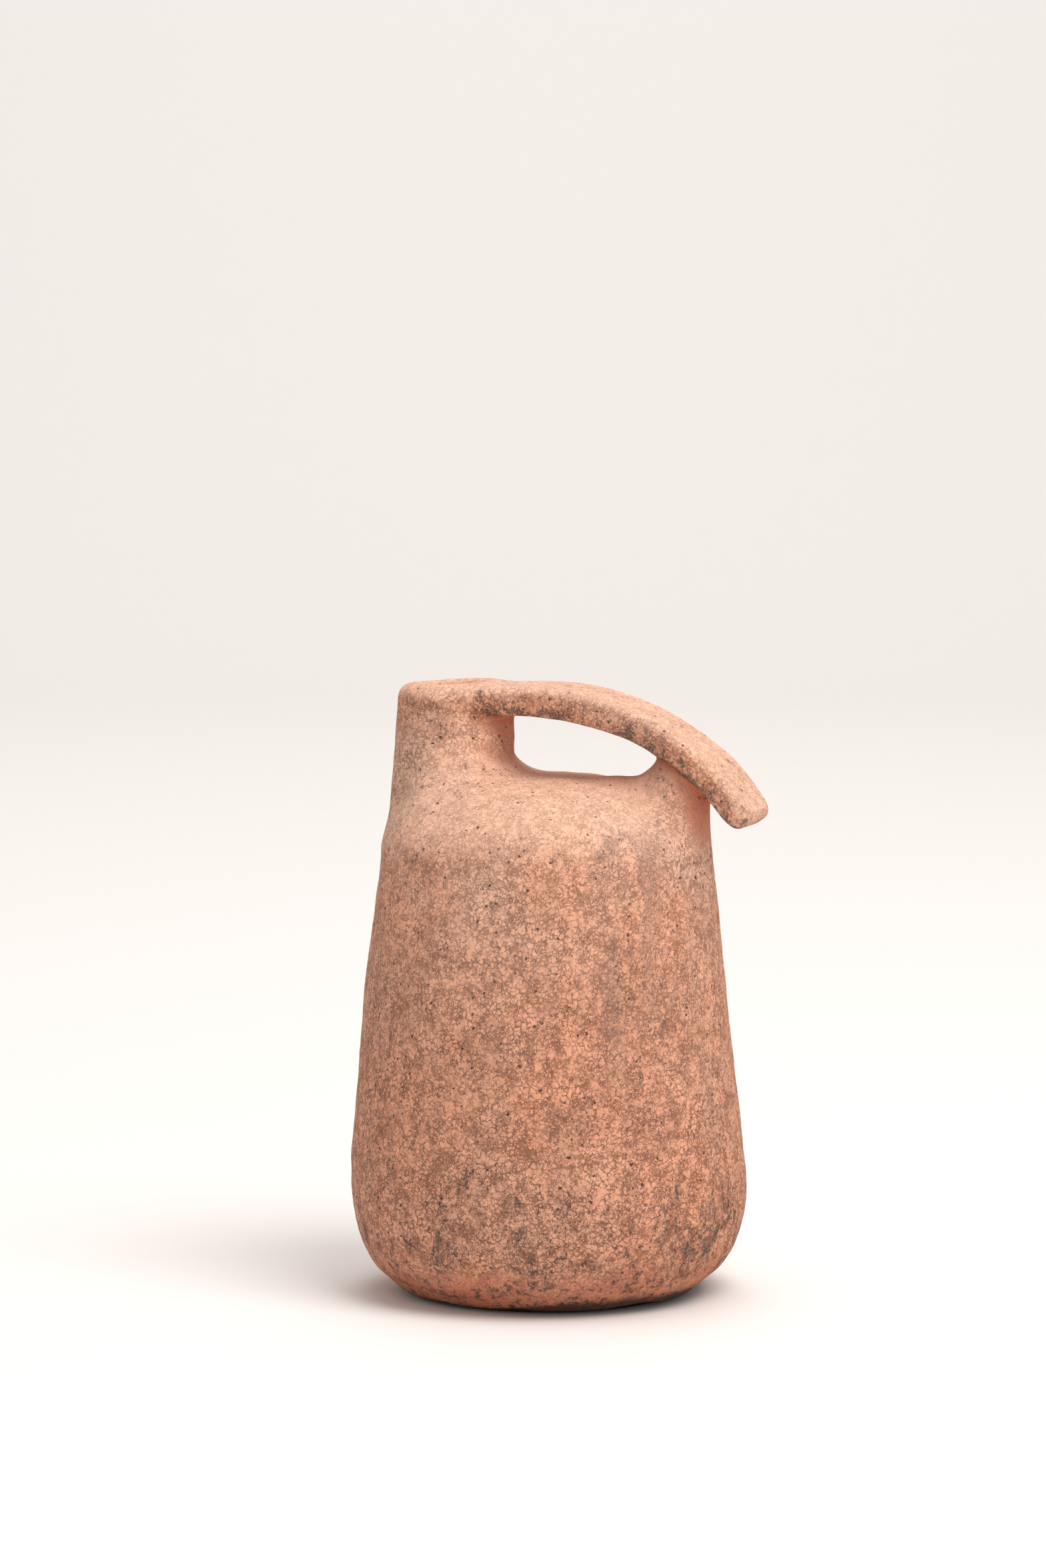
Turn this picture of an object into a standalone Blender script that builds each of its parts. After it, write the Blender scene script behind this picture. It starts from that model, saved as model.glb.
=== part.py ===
"""Ceramic pitcher with an off-centre neck and a flat strap handle that runs past the shoulder.

The pot is made of the clay elements that a potter forms apart and lutes together: a slab base, a
tall wall, a domed shoulder collared up to the neck, the neck tube, a thick lip, the strap, and the
two gussets that carry the strap. Metres, +Z up, origin at the centre of the flat base, and the
strap lies over the +X half. The front and back halves mirror each other across the XZ plane.
"""

import math

import bpy
import numpy as np

# Fit of the luted joints and thickness of the clay.
GAP = 0.0003
WALL = 0.007
FLOOR = 0.008

# Body: heights and outer radii of the turned wall, from the base edge up to the shoulder.
WALL_OUTLINE = [
    (0.0000, 0.0740),
    (0.0090, 0.0845),
    (0.0180, 0.0936),
    (0.0350, 0.1012),
    (0.0620, 0.1042),
    (0.1150, 0.0994),
    (0.1750, 0.0933),
    (0.2330, 0.0869),
]
BASE_EDGE_ROUNDING = 0.0015
SHOULDER_HEIGHT = 0.233
DOME_TOP = 0.2725
DOME_POWER = 2.6

# Neck: a slightly tapered tube whose outer side carries on the line of the wall.
NECK_X = -0.0535
NECK_FOOT_RADIUS = 0.0338
NECK_TOP_RADIUS = 0.0272
COLLAR_HEIGHT = 0.286
FILLET_OUTER_SIDE = 0.008
FILLET_INNER_SIDE = 0.026

# Lines from this height above the shoulder's foot, on the neck's axis, reach its whole surface.
CENTRE_LIFT = 0.006
LONGEST_LINE = 0.2
LINE_SPREAD = 0.8

# Lip: a thick rolled ring around the mouth.
MOUTH_X = -0.0517
MOUTH_RADIUS = 0.0135
LIP_RADIUS = 0.0292
LIP_BOTTOM = 0.306
LIP_TOP = 0.3185
LIP_ROUNDING = 0.005

# Strap handle: top line in the XZ plane with the strap's thickness at each of its points.
STRAP_HALF_WIDTH = 0.0215
STRAP_EDGE = 0.0045
STRAP_LINE = [
    (-0.0520, 0.3195, 0.0135),
    (-0.0200, 0.3205, 0.0145),
    (0.0080, 0.3200, 0.0155),
    (0.0350, 0.3158, 0.0155),
    (0.0600, 0.3070, 0.0150),
    (0.0820, 0.2945, 0.0145),
    (0.1010, 0.2790, 0.0145),
    (0.1158, 0.2600, 0.0130),
]
TAIL_ROUNDING = 0.0055

# Gussets: half thickness of the clay and how far their edges are rounded.
NECK_GUSSET_HALF = 0.0130
NECK_GUSSET_X = -0.0245
SHOULDER_GUSSET_HALF = 0.0150
GUSSET_ROUNDING = 0.0040

# Fineness of the solids.
ROUND_STEPS = 56
NECK_STEPS = 48
SHOULDER_ROWS = 12
WALL_ROWS = 16
SPAN_STEPS = 8
STRAP_STEPS = 3

CLAY = (0.62, 0.30, 0.19, 1.0)
BARE_CLAY = (0.72, 0.42, 0.29, 1.0)


def smooth_line(points, steps):
    """A smooth curve through the points, with the given number of steps in each span."""
    spots = np.array(points, dtype=float)
    padded = np.vstack([2 * spots[0] - spots[1], spots, 2 * spots[-1] - spots[-2]])
    curve = []
    for span in range(len(spots) - 1):
        a, b, c, d = padded[span:span + 4]
        for step in range(steps):
            t = step / steps
            cubic = (3 * b - a - 3 * c + d) * t ** 3
            square = (2 * a - 5 * b + 4 * c - d) * t ** 2
            curve.append(0.5 * (2 * b + (c - a) * t + square + cubic))
    curve.append(spots[-1])
    return np.array(curve)


WALL_CURVE = smooth_line(WALL_OUTLINE, SPAN_STEPS)


def wall_radius(z):
    """Outer radius of the turned wall at height z."""
    return float(np.interp(z, WALL_CURVE[:, 0], WALL_CURVE[:, 1]))


def neck_radius(z):
    """Outer radius of the tapered neck tube at height z."""
    share = (z - SHOULDER_HEIGHT) / (LIP_TOP - SHOULDER_HEIGHT)
    return NECK_FOOT_RADIUS + (NECK_TOP_RADIUS - NECK_FOOT_RADIUS) * share


def dome_distance(x, y, z):
    """Rough distance from the crowned shoulder, negative inside it."""
    rise = max(z - SHOULDER_HEIGHT, 0.0) / (DOME_TOP - SHOULDER_HEIGHT)
    reach = math.hypot(x, y) / wall_radius(min(z, SHOULDER_HEIGHT))
    value = reach ** DOME_POWER + rise ** 2 - 1
    slope_out = DOME_POWER * reach ** (DOME_POWER - 1) / wall_radius(SHOULDER_HEIGHT)
    slope_up = 2 * rise / (DOME_TOP - SHOULDER_HEIGHT)
    return value / max(math.hypot(slope_out, slope_up), 1.0)


def shoulder_distance(x, y, z):
    """Distance from the dome and the neck blended by a fillet that is widest beside the handle."""
    dome = dome_distance(x, y, z)
    neck = math.hypot(x - NECK_X, y) - neck_radius(z)
    side = min(max((x - NECK_X) / NECK_FOOT_RADIUS + 1, 0.0) / 2, 1.0)
    fillet = FILLET_OUTER_SIDE + (FILLET_INNER_SIDE - FILLET_OUTER_SIDE) * side
    overlap = max(fillet - abs(dome - neck), 0.0) / fillet
    return min(dome, neck) - overlap * overlap * fillet / 4


def surface_along(origin, direction, offset):
    """The point where a ray from inside the pot meets the shoulder surface moved out by offset."""
    near, far = 0.0, LONGEST_LINE
    for _ in range(40):
        middle = (near + far) / 2
        spot = [origin[axis] + direction[axis] * middle for axis in range(3)]
        if shoulder_distance(*spot) < offset:
            near = middle
        else:
            far = middle
    return [origin[axis] + direction[axis] * near for axis in range(3)]


def shoulder_grid(offset, bottom, top, rows):
    """Rings of points up the shoulder, each turning about the neck's axis from bottom to top."""
    rings = [[] for _ in range(rows + 1)]
    for turn in range(NECK_STEPS):
        angle = 2 * math.pi * turn / NECK_STEPS
        out = (math.cos(angle), math.sin(angle))
        origin = (NECK_X, 0.0, bottom + CENTRE_LIFT)
        along_wall = NECK_X * out[0]
        rim_radius = wall_radius(bottom) + offset
        reach = -along_wall + math.sqrt(along_wall ** 2 - NECK_X ** 2 + rim_radius ** 2)
        first = math.atan2(-CENTRE_LIFT, reach)
        last = math.atan2(top - origin[2], neck_radius(top) + offset)
        for row in range(rows + 1):
            tilt = first + (last - first) * (row / rows) ** LINE_SPREAD
            direction = (out[0] * math.cos(tilt), out[1] * math.cos(tilt), math.sin(tilt))
            spot = surface_along(origin, direction, offset)
            if row == 0:
                spot = [NECK_X + out[0] * reach, out[1] * reach, bottom]
            rings[row].append(spot)
    for spot in rings[-1]:
        spot[2] = top
    return rings


def new_collection(name):
    collection = bpy.data.collections.new(name)
    bpy.context.scene.collection.children.link(collection)
    return collection


def clay_material(name, colour, roughness):
    material = bpy.data.materials.new(name)
    material.use_nodes = True
    shader = material.node_tree.nodes["Principled BSDF"]
    shader.inputs["Base Color"].default_value = colour
    shader.inputs["Roughness"].default_value = roughness
    shader.inputs["Metallic"].default_value = 0.0
    return material


def add_object(name, vertices, edges, faces, collection, colour=CLAY, roughness=0.85):
    """A named mesh object with a clay material of its own."""
    mesh = bpy.data.meshes.new(name)
    mesh.from_pydata([tuple(spot) for spot in vertices], edges, faces)
    mesh.update()
    thing = bpy.data.objects.new(name, mesh)
    mesh.materials.append(clay_material(name + "_clay", colour, roughness))
    collection.objects.link(thing)
    return thing


def add_cutter(name, vertices, faces):
    """A solid that only cuts others."""
    thing = add_object(name, vertices, [], faces, cutters)
    thing.hide_render = True
    thing.display_type = "WIRE"
    return thing


def cut(target, cutter):
    difference = target.modifiers.new("cut_" + cutter.name, "BOOLEAN")
    difference.operation = "DIFFERENCE"
    difference.solver = "EXACT"
    difference.object = cutter


def turn_profile(name, profile, closed, x, collection, steps, colour=CLAY):
    """Turn a profile of (radius, height) points, given from the top down its outer side."""
    count = len(profile)
    edges = [(spot, spot + 1) for spot in range(count - 1)]
    if closed:
        edges.append((count - 1, 0))
    vertices = [(radius, 0.0, height) for radius, height in profile]
    thing = add_object(name, vertices, edges, [], collection, colour)
    thing.location.x = x
    screw = thing.modifiers.new("turn", "SCREW")
    screw.steps = steps
    screw.render_steps = steps
    screw.use_merge_vertices = True
    screw.merge_threshold = 0.00002
    screw.use_smooth_shade = True
    return thing


def circle(x, radius, height):
    """A level ring of points about an upright axis on the XZ plane."""
    turns = [2 * math.pi * turn / NECK_STEPS for turn in range(NECK_STEPS)]
    return [(x + radius * math.cos(angle), radius * math.sin(angle), height) for angle in turns]


def arc(centre_r, centre_z, radius, start, end, steps):
    """Points of a circular arc in the (radius, height) plane, with its angles in degrees."""
    points = []
    for step in range(steps + 1):
        angle = math.radians(start + (end - start) * step / steps)
        points.append((centre_r + radius * math.cos(angle), centre_z + radius * math.sin(angle)))
    return points


def skin(rings, ends_meet=False):
    """Faces between neighbouring rings, whose two ends are capped flat or joined to each other."""
    size = len(rings[0])
    count = len(rings)
    vertices = [spot for ring in rings for spot in ring]
    faces = []
    for row in range(count if ends_meet else count - 1):
        low = row * size
        high = (row + 1) % count * size
        for turn in range(size):
            after = (turn + 1) % size
            faces.append((low + turn, low + after, high + after, high + turn))
    if not ends_meet:
        faces.append(tuple(reversed(range(size))))
        faces.append(tuple(range((count - 1) * size, count * size)))
    return vertices, faces


def build_base_slab():
    """The flat slab that the pot stands on, its edge leaning out to the wall above."""
    edge = wall_radius(0.0)
    profile = [(0.0, FLOOR), (wall_radius(FLOOR), FLOOR)]
    profile.append((wall_radius(FLOOR / 2), FLOOR / 2))
    profile.append((wall_radius(BASE_EDGE_ROUNDING), BASE_EDGE_ROUNDING))
    profile.append((edge - BASE_EDGE_ROUNDING, 0.0))
    profile.append((0.0, 0.0))
    turn_profile("base_slab", profile, False, 0.0, parts, ROUND_STEPS)


def build_body_wall():
    """The tall wall, belled low down and drawn in towards the shoulder."""
    top = SHOULDER_HEIGHT - GAP
    bottom = FLOOR + GAP
    heights = [top + (bottom - top) * row / WALL_ROWS for row in range(WALL_ROWS + 1)]
    outer = [(wall_radius(z), z) for z in heights]
    inner = [(wall_radius(z) - WALL, z) for z in reversed(heights[::2])]
    turn_profile("body_wall", outer + inner, True, 0.0, parts, ROUND_STEPS)


def build_shoulder_dome():
    """The domed shoulder, closed over the body and collared up into the foot of the neck."""
    outer = shoulder_grid(0.0, SHOULDER_HEIGHT, COLLAR_HEIGHT, SHOULDER_ROWS)
    inner = shoulder_grid(-WALL, SHOULDER_HEIGHT, COLLAR_HEIGHT, SHOULDER_ROWS)
    vertices, faces = skin(outer + inner[::-1], ends_meet=True)
    add_object("shoulder_dome", vertices, [], faces, parts)


def build_neck():
    """The short tube between the collar of the shoulder and the lip."""
    top = LIP_BOTTOM - GAP
    bottom = COLLAR_HEIGHT + GAP
    profile = [(neck_radius(top), top), (neck_radius(bottom), bottom)]
    profile.append((neck_radius(bottom) - WALL, bottom))
    profile.append((neck_radius(top) - WALL, top))
    turn_profile("neck", profile, True, NECK_X, parts, NECK_STEPS)


def build_mouth_lip():
    """The thick rolled lip around the mouth."""
    rounding = LIP_ROUNDING
    profile = arc(LIP_RADIUS - rounding, LIP_TOP - rounding, rounding, 90, 0, 5)
    profile.append((LIP_RADIUS, LIP_BOTTOM))
    throat = neck_radius(LIP_BOTTOM) - WALL
    profile.append((throat, LIP_BOTTOM))
    profile += arc(MOUTH_RADIUS + rounding, LIP_TOP - rounding, rounding, 180, 90, 5)
    turn_profile("mouth_lip", profile, True, MOUTH_X, parts, NECK_STEPS, BARE_CLAY)


def strap_rings(grow):
    """Cross-sections along the strap, from inside the neck to the rounded tail."""
    line = smooth_line(STRAP_LINE, STRAP_STEPS)
    rings = []
    for place, (x, z, thickness) in enumerate(line):
        before = line[max(place - 1, 0)]
        after = line[min(place + 1, len(line) - 1)]
        run, rise = after[0] - before[0], after[1] - before[1]
        length = math.hypot(run, rise)
        down = (rise / length, -run / length)
        rings.append(strap_section(x, z, down, thickness, STRAP_HALF_WIDTH, grow))
    forward = (-down[1], down[0])
    for turn in (30, 60, 80):
        reach = TAIL_ROUNDING * math.sin(math.radians(turn))
        inset = TAIL_ROUNDING * (1 - math.cos(math.radians(turn)))
        tail_x = x + forward[0] * reach + down[0] * inset
        tail_z = z + forward[1] * reach + down[1] * inset
        thin = thickness - 2 * inset
        half = STRAP_HALF_WIDTH - inset
        rings.append(strap_section(tail_x, tail_z, down, thin, half, grow))
    return rings


def strap_section(x, z, down, thickness, half, grow):
    """One rounded rectangle across the strap, its top at (x, z), grown on every side."""
    edge = min(STRAP_EDGE, 0.45 * thickness)
    section = []
    for side, level, start in ((-1, 0, 90), (-1, 1, 0), (1, 1, -90), (1, 0, -180)):
        across = side * (half + grow - edge)
        depth = edge - grow if level == 0 else thickness + grow - edge
        for step in range(4):
            angle = math.radians(start - 30 * step)
            y = across - edge * math.cos(angle)
            below = depth - edge * math.sin(angle)
            section.append((x + down[0] * below, y, z + down[1] * below))
    return section


def build_strap_handle():
    """The flat strap, butted against the lip and bent down past the shoulder to a free tail."""
    vertices, faces = skin(strap_rings(0.0))
    strap = add_object("strap_handle", vertices, [], faces, parts)
    cut(strap, lip_cutter)


def build_gusset(name, outline, half):
    """A slab of clay with its outline in the XZ plane and its long edges rounded."""
    count = len(outline)
    vertices = [(x, -half, z) for x, z in outline] + [(x, half, z) for x, z in outline]
    faces = [tuple(range(count)), tuple(reversed(range(count, 2 * count)))]
    for spot in range(count):
        after = (spot + 1) % count
        faces.append((spot, spot + count, after + count, after))
    gusset = add_object(name, vertices, [], faces, parts)
    rounding = gusset.modifiers.new("round_edges", "BEVEL")
    rounding.width = GUSSET_ROUNDING
    rounding.segments = 3
    rounding.limit_method = "ANGLE"
    rounding.angle_limit = math.radians(40)
    cut(gusset, strap_cutter)
    cut(gusset, shoulder_cutter)


def build_neck_gusset():
    """Fills the corner between the neck, the strap and the dome, and ends the finger hole."""
    x = NECK_GUSSET_X
    outline = [(x - 0.022, 0.312), (x - 0.022, 0.262), (x + 0.016, 0.262)]
    outline += [(x + 0.007, 0.272), (x + 0.003, 0.282), (x, 0.294), (x + 0.001, 0.312)]
    build_gusset("neck_gusset", outline, NECK_GUSSET_HALF)


def build_shoulder_gusset():
    """Carries the strap on the shoulder and ends the finger hole on the other side."""
    outline = [(0.0420, 0.2600), (0.0700, 0.2400), (0.0800, 0.2360), (0.0872, 0.2410)]
    outline += [(0.0880, 0.2560), (0.0900, 0.2640), (0.1000, 0.2740), (0.0830, 0.2860)]
    outline += [(0.0680, 0.2970), (0.0625, 0.2890), (0.0615, 0.2840), (0.0575, 0.2775)]
    outline += [(0.0520, 0.2742), (0.0420, 0.2730)]
    build_gusset("shoulder_gusset", outline, SHOULDER_GUSSET_HALF)


def build_cutters():
    """Envelopes of the lip with the neck, the strap and the shoulder, each grown by the gap."""
    lip = [
        circle(NECK_X, neck_radius(COLLAR_HEIGHT) + GAP, COLLAR_HEIGHT),
        circle(NECK_X, neck_radius(LIP_BOTTOM) + GAP, LIP_BOTTOM - 2 * GAP),
        circle(MOUTH_X, LIP_RADIUS + GAP, LIP_BOTTOM - GAP),
        circle(MOUTH_X, LIP_RADIUS + GAP, LIP_TOP + LIP_ROUNDING),
    ]
    lip_solid = add_cutter("lip_envelope", *skin(lip))
    strap_solid = add_cutter("strap_envelope", *skin(strap_rings(GAP)))
    shoulder = shoulder_grid(GAP, SHOULDER_HEIGHT, COLLAR_HEIGHT, SHOULDER_ROWS)
    shoulder.append(circle(NECK_X, neck_radius(LIP_BOTTOM) + GAP, LIP_BOTTOM))
    shoulder_solid = add_cutter("shoulder_envelope", *skin(shoulder))
    return lip_solid, strap_solid, shoulder_solid


for existing in list(bpy.data.objects):
    bpy.data.objects.remove(existing, do_unlink=True)

parts = new_collection("ceramic_pitcher")
cutters = new_collection("cutters")
lip_cutter, strap_cutter, shoulder_cutter = build_cutters()

build_base_slab()
build_body_wall()
build_shoulder_dome()
build_neck()
build_mouth_lip()
build_strap_handle()
build_neck_gusset()
build_shoulder_gusset()
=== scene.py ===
"""Visual model of the ceramic pitcher: one clay surface with soft joints, cut into its eight pieces.

Metres, +Z up, origin at the centre of the flat base, strap over the +X half. The clay is described
by a distance function, negative inside, whose places and sizes come from the CAD boxes. The tall
wall is turned row by row, and everything above the shoulder's foot is meshed on a fine grid.
"""

import math

import bpy
import numpy as np
from mathutils import Matrix, Vector


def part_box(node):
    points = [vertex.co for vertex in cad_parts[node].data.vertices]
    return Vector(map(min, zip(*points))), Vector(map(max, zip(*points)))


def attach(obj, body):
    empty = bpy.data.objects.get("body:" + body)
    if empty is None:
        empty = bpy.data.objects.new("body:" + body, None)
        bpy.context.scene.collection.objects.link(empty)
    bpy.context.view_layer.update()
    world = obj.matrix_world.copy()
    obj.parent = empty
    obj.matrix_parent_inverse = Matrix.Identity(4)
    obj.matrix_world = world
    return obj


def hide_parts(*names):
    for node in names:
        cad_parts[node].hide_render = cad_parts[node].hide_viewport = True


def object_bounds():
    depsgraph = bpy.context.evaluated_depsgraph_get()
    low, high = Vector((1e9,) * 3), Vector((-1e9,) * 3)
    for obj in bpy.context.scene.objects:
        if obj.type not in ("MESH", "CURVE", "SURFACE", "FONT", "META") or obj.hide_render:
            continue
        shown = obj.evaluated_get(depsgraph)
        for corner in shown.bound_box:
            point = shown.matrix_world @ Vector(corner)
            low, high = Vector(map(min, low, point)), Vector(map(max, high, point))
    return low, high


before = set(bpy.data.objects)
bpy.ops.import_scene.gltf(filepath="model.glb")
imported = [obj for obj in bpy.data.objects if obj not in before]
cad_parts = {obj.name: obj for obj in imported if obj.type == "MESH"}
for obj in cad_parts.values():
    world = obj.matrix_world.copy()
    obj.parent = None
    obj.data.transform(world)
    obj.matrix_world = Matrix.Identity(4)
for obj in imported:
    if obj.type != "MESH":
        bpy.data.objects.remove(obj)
cad_low, cad_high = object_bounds()

# ---------------------------------------------------------------- sizes taken from the CAD boxes

wall_low, wall_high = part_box("body_wall")
slab_low, slab_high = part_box("base_slab")
dome_low, dome_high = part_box("shoulder_dome")
neck_low, neck_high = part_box("neck")
lip_low, lip_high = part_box("mouth_lip")
strap_low, strap_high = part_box("strap_handle")
web_low, web_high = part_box("neck_gusset")
post_low, post_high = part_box("shoulder_gusset")

BELLY_RADIUS = (wall_high.x - wall_low.x) / 2
SLAB_TOP = (slab_high.z + wall_low.z) / 2
SHOULDER = (wall_high.z + dome_low.z) / 2
COLLAR = (dome_high.z + neck_low.z) / 2
LIP_FOOT = (neck_high.z + lip_low.z) / 2
TOP = lip_high.z
NECK_RADIUS = (neck_high.y - neck_low.y) / 2
NECK_X = neck_low.x + NECK_RADIUS
LIP_INSET = 0.0010
LIP_RADIUS = (lip_high.y - lip_low.y) / 2 - LIP_INSET
MOUTH_X = (lip_low.x + lip_high.x) / 2
STRAP_HALF = (strap_high.y - strap_low.y) / 2
TAIL_X = strap_high.x

# ---------------------------------------------------------------- shape of the clay

WALL_THICKNESS = 0.007
FLOOR_THICKNESS = 0.008
BORE_RADIUS = 0.0135
BORE_FOOT = 0.15
BORE_BLEND = 0.012
MOUTH_ROUNDING = 0.009
BASE_ROUNDING = 0.0012
FOOT_RADIUS = 0.0685
FOOT_WEAR = 0.0028

# Outline of the wall: share of the shoulder's height, share of the belly's radius.
WALL_OUTLINE = [
    (0.0000, 0.7100),
    (0.0386, 0.8110),
    (0.0773, 0.8980),
    (0.1502, 0.9715),
    (0.2661, 1.0000),
    (0.4936, 0.9540),
    (0.7511, 0.8955),
    (1.0000, 0.8340),
]
# The pot isn't quite upright: share of the shoulder's height, and how far the wall leans along +X.
WALL_LEAN = [
    (0.00, 0.0000),
    (0.14, 0.0007),
    (0.35, 0.0000),
    (0.70, -0.0010),
    (1.00, -0.0003),
    (1.40, 0.0000),
]

# The shoulder: how the radius shrinks per metre of height, and the power that makes its crown full.
SHOULDER_TAPER = 0.115
DOME_TOP = 0.2725
DOME_POWER = 2.9

# The neck narrows upwards, and its foot is tucked inside the wall. Its fillet to the shoulder is
# small on the outer side, wider beside the handle and widest at the front and the back.
NECK_TAPER = 0.077
NECK_FOOT = 0.203
NECK_TUCK = 0.10
FILLET_OUTER_SIDE = 0.006
FILLET_INNER_SIDE = 0.020
FILLET_FRONT_EXTRA = 0.018
LIP_ROUNDING = 0.0060
LIP_BLEND = 0.002

# Middle line of the strap from the mouth to the tail: share of the way along X, height of its top
# below the strap's highest point, and its thickness.
STRAP_LINE = [
    (0.000, 0.0022, 0.0135),
    (0.190, 0.0008, 0.0145),
    (0.357, 0.0005, 0.0155),
    (0.518, 0.0047, 0.0155),
    (0.667, 0.0135, 0.0150),
    (0.799, 0.0260, 0.0145),
    (0.912, 0.0415, 0.0145),
    (1.000, 0.0605, 0.0130),
]
STRAP_EDGE = 0.0046
STRAP_CORNER = 0.010
TAIL_SETBACK = 0.0011
TAIL_REACH = 0.0049

# Handle's two ends: the web by the neck, and the post by the shoulder, an upright bar that leans
# out over a lower saddle. Low corner, and high corner with the half width in Y, of each block.
WEB_INSET = 0.0030
WEB_EDGE = 0.005
WEB_TOP = TOP - 0.008
WEB_BLEND = 0.013
WEB_BLEND_FOOT = 0.272
POST_LEAN = 0.05
POST_LOW = (0.0600, 0, 0.200)
POST_HIGH = (0.0862, (post_high.y - post_low.y) / 2, 0.2840)
POST_EDGE = 0.010
SADDLE_LOW = (0.034, 0, 0.235)
SADDLE_HIGH = (0.075, 0.011, 0.2685)
SADDLE_EDGE = 0.008
POST_BLEND = 0.023
SADDLE_BLEND = 0.016
STRAP_BLEND = 0.006
HOLE_END_BLEND = 0.006

# Lumps left by the potter's hands: size of the lump and how far it stands out.
LUMPS = [(0.055, 0.00055), (0.021, 0.00030), (0.0085, 0.00016), (0.0040, 0.00008)]


def smooth_line(points, steps):
    """A smooth curve through the points, with the given number of steps in each span."""
    spots = np.array(points, dtype=float)
    padded = np.vstack([2 * spots[0] - spots[1], spots, 2 * spots[-1] - spots[-2]])
    curve = []
    for span in range(len(spots) - 1):
        a, b, c, d = padded[span:span + 4]
        for step in range(steps):
            t = step / steps
            cubic = (3 * b - a - 3 * c + d) * t ** 3
            square = (2 * a - 5 * b + 4 * c - d) * t ** 2
            curve.append(0.5 * (2 * b + (c - a) * t + square + cubic))
    curve.append(spots[-1])
    return np.array(curve)


def join(first, second, width):
    """Distance from two shapes run together with a fillet."""
    overlap = np.maximum(width - np.abs(first - second), 0.0) / width
    return np.minimum(first, second) - overlap * overlap * width / 4


def trim(first, second, width):
    """Distance from what two shapes share, with the edge between them rounded."""
    return -join(-first, -second, width)


wall_curve = smooth_line(WALL_OUTLINE, 12) * [SHOULDER, BELLY_RADIUS]
wall_slope = np.gradient(wall_curve[:, 1], wall_curve[:, 0])
lean_curve = smooth_line(WALL_LEAN, 8) * [SHOULDER, 1.0]


def body(x, y, z):
    """Distance from the turned wall and the domed shoulder."""
    above = np.maximum(z - SHOULDER, 0.0)
    radius = np.interp(z, wall_curve[:, 0], wall_curve[:, 1]) - SHOULDER_TAPER * above
    slope = np.where(above > 0, -SHOULDER_TAPER, np.interp(z, wall_curve[:, 0], wall_slope))
    rise = above / (DOME_TOP - SHOULDER)
    lean = np.interp(z, lean_curve[:, 0], lean_curve[:, 1])
    reach = np.hypot(x - lean, y) / radius
    value = reach ** DOME_POWER + rise ** 2 - 1
    out = DOME_POWER * np.maximum(reach, 0.35) ** (DOME_POWER - 1) / radius
    up = 2 * rise / (DOME_TOP - SHOULDER) - out * reach * slope
    return value / np.hypot(out, up)


def neck(x, y, z):
    """Distance from the neck tube, which narrows a little upwards."""
    radius = NECK_RADIUS - NECK_TAPER * (z - COLLAR) - NECK_TUCK * np.maximum(SHOULDER - z, 0.0)
    tube = np.hypot(x - NECK_X, y) - radius
    tube = rounded_corner(tube + LIP_ROUNDING, z - TOP + LIP_ROUNDING) - LIP_ROUNDING
    return np.maximum(tube, NECK_FOOT - z)


def lip(x, y, z):
    """Distance from the thick lip, a ring with well rounded edges."""
    half = (TOP - LIP_FOOT) / 2
    across = np.hypot(x - MOUTH_X, y) - LIP_RADIUS + LIP_ROUNDING
    up = np.abs(z - LIP_FOOT - half) - half + LIP_ROUNDING
    return rounded_corner(across, up) - LIP_ROUNDING


def rounded_corner(across, up):
    """Distance from the corner between two faces, rounded on its outside."""
    outside = np.hypot(np.maximum(across, 0.0), np.maximum(up, 0.0))
    return outside + np.minimum(np.maximum(across, up), 0.0)


def strap_centre():
    """Points (x, z, half thickness) and running length along the middle of the strap."""
    line = smooth_line(STRAP_LINE, 8)
    x = MOUTH_X + line[:, 0] * (TAIL_X - TAIL_SETBACK - MOUTH_X)
    z = strap_high.z - line[:, 1]
    half = line[:, 2] / 2
    run, climb = np.gradient(x), np.gradient(z)
    length = np.hypot(run, climb)
    x = x + climb / length * half
    z = z - run / length * half
    along = np.concatenate([[0.0], np.cumsum(np.hypot(np.diff(x), np.diff(z)))])
    return x, z, half, along


strap_x, strap_z, strap_half, strap_along = strap_centre()


def measure_strap(x, z):
    """Where points lie beside the strap's middle line: along it, off it, and its half thickness."""
    shape = np.broadcast(x, z).shape
    nearest = np.full(shape, np.inf)
    along, off, half = np.zeros(shape), np.zeros(shape), np.zeros(shape)
    for spot in range(len(strap_x) - 1):
        run = strap_x[spot + 1] - strap_x[spot]
        climb = strap_z[spot + 1] - strap_z[spot]
        length = math.hypot(run, climb)
        share = ((x - strap_x[spot]) * run + (z - strap_z[spot]) * climb) / length ** 2
        last = np.inf if spot == len(strap_x) - 2 else 1.0
        held = np.clip(share, 0.0, last)
        apart = np.hypot(x - strap_x[spot] - held * run, z - strap_z[spot] - held * climb)
        closer = apart < nearest
        nearest = np.where(closer, apart, nearest)
        along = np.where(closer, strap_along[spot] + held * length, along)
        off = np.where(closer, apart, off)
        widening = strap_half[spot + 1] - strap_half[spot]
        half = np.where(closer, strap_half[spot] + np.minimum(held, 1.0) * widening, half)
    return np.stack([along, off, half])


CHART_STEP = 0.0005
CHART_LOW = (cad_low.x - 0.02, strap_low.z - 0.03)
CHART_HIGH = (cad_high.x + 0.05, cad_high.z + 0.05)
chart_x = np.arange(CHART_LOW[0], CHART_HIGH[0], CHART_STEP)
chart_z = np.arange(CHART_LOW[1], CHART_HIGH[1], CHART_STEP)
strap_chart = measure_strap(chart_x[:, None], chart_z[None, :])


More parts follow.
